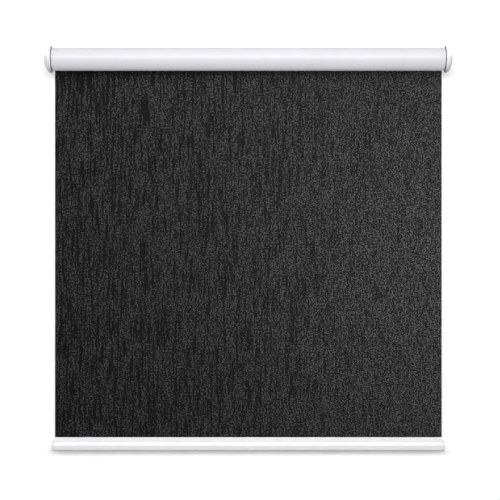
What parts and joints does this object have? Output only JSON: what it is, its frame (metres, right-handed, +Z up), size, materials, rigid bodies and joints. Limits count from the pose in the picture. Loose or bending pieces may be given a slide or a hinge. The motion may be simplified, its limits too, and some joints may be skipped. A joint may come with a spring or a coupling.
{
  "type": "roller blind",
  "caption": "Cordless spring roller blind: black slubbed cloth with a white reverse on a sprung tube, domed end covers, wall brackets and a weighted bottom rail.",
  "frame": {"origin": "on the wall plane, midway between the two brackets, level with the roller's axis: the centre of the four wall-screw holes", "axes": "+Z up, +Y into the wall, -Y towards the room, +X to the right for someone facing the blind"},
  "size_m": [0.8, 0.059, 0.798],
  "materials": {
    "bracket_paint": "semi-gloss white powder coat",
    "cover_plastic": "smooth white, softly glossy",
    "white_plastic": "white, softly glossy",
    "grey_plastic": "light grey, matte",
    "natural_nylon": "off-white, matte",
    "steel": "bright zinc",
    "dark_steel": "blackened, lightly oiled",
    "spring_steel": "oiled spring wire",
    "tube_aluminium": "mill finish",
    "cloth_back": "white coated reverse of the cloth",
    "cloth_front": "black slubbed weave",
    "bead_plastic": "white cord bead",
    "rail_coat": "satin white powder coat",
    "rail_plastic": "white, softly glossy"
  },
  "bodies": {
    "wall_mount": {"bracket_left": "bracket_paint", "bracket_right": "bracket_paint", "cover_left": "cover_plastic", "cover_right": "cover_plastic", "pin_bush": "natural_nylon", "spear_socket": "natural_nylon", "socket_rivets": "steel", "spring_shaft": "steel", "shaft_circlip": "dark_steel", "shaft_anchor": "dark_steel", "anchor_pin": "steel", "ratchet_wheel": "steel", "ratchet_pin": "dark_steel", "torsion_spring": "spring_steel"},
    "roller": {"roller_tube": "tube_aluminium", "fabric_roll": "cloth_back", "fabric_bead": "bead_plastic", "idle_plug": "white_plastic", "pin_chamber_cap": "grey_plastic", "pin_spring": "spring_steel", "spring_plug": "grey_plastic", "spring_plug_flange": "white_plastic", "flange_screws": "steel", "pawl_pins": "steel", "centring_disc": "grey_plastic"},
    "idle_pin": {"idle_pin": "steel"},
    "pawl_upper": {"pawl_upper": "dark_steel"},
    "pawl_lower": {"pawl_lower": "dark_steel"},
    "rail": {"fabric_panel": "cloth_front", "bottom_rail": "rail_coat", "rail_spline": "bead_plastic", "rail_weight": "steel", "rail_cap_left": "rail_plastic", "rail_cap_right": "rail_plastic"}
  },
  "joints": [
    {"name": "rail_lift", "type": "slide", "parent": "wall_mount", "child": "rail", "axis": [0, 0, 1], "range_m": [0, 0.70874], "deforming": ["fabric_panel"]},
    {"name": "roller_turn", "type": "hinge", "parent": "wall_mount", "child": "roller", "pos_m": [0, -0.032, 0], "axis": [1, 0, 0], "range_deg": [0, 1710]},
    {"name": "idle_pin_press", "type": "slide", "parent": "roller", "child": "idle_pin", "axis": [1, 0, 0], "range_m": [0, 0.006], "stiffness_N_per_m": 400, "springref_m": -0.01, "deforming": ["pin_spring"]},
    {"name": "pawl_upper_swing", "type": "hinge", "parent": "roller", "child": "pawl_upper", "pos_m": [0.37425, -0.026, 0.0106], "axis": [1, 0, 0], "range_deg": [-25, 18]},
    {"name": "pawl_lower_swing", "type": "hinge", "parent": "roller", "child": "pawl_lower", "pos_m": [0.37425, -0.038, -0.0106], "axis": [1, 0, 0], "range_deg": [-25, 18]}
  ],
  "couplings": [
    {"joint": "roller_turn", "follows": "rail_lift", "rad_per_m": 42.11}
  ]
}
